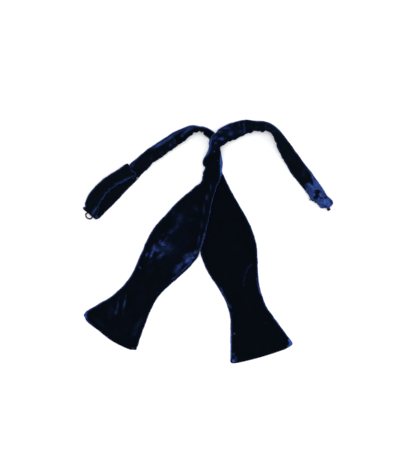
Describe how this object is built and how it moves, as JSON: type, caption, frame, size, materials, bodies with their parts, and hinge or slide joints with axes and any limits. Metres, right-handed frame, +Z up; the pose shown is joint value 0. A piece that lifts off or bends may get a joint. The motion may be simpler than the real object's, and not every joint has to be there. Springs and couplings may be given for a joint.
{
  "type": "bow tie",
  "caption": "Self-tie butterfly bow tie in velvet, untied and laid flat with its halves crossed at the neck, flared blades below, and a hook and eye at the neckband ends.",
  "frame": {"origin": "centre of the base of the bounding box, on the surface the tie lies on", "axes": "+X to the right as seen from above, along the longer side of the layout, +Y from the flared ends towards the crossing and the neckbands, +Z up"},
  "size_m": [0.248, 0.2424, 0.0158],
  "materials": {
    "blade_velvet": "velvet",
    "band_velvet": "velvet",
    "dark_metal": "dark plated"
  },
  "bodies": {
    "root": {"left_blade": "blade_velvet", "right_blade": "blade_velvet", "left_neckband": "band_velvet", "right_neckband": "band_velvet", "hook": "dark_metal", "eye": "dark_metal"}
  },
  "joints": []
}
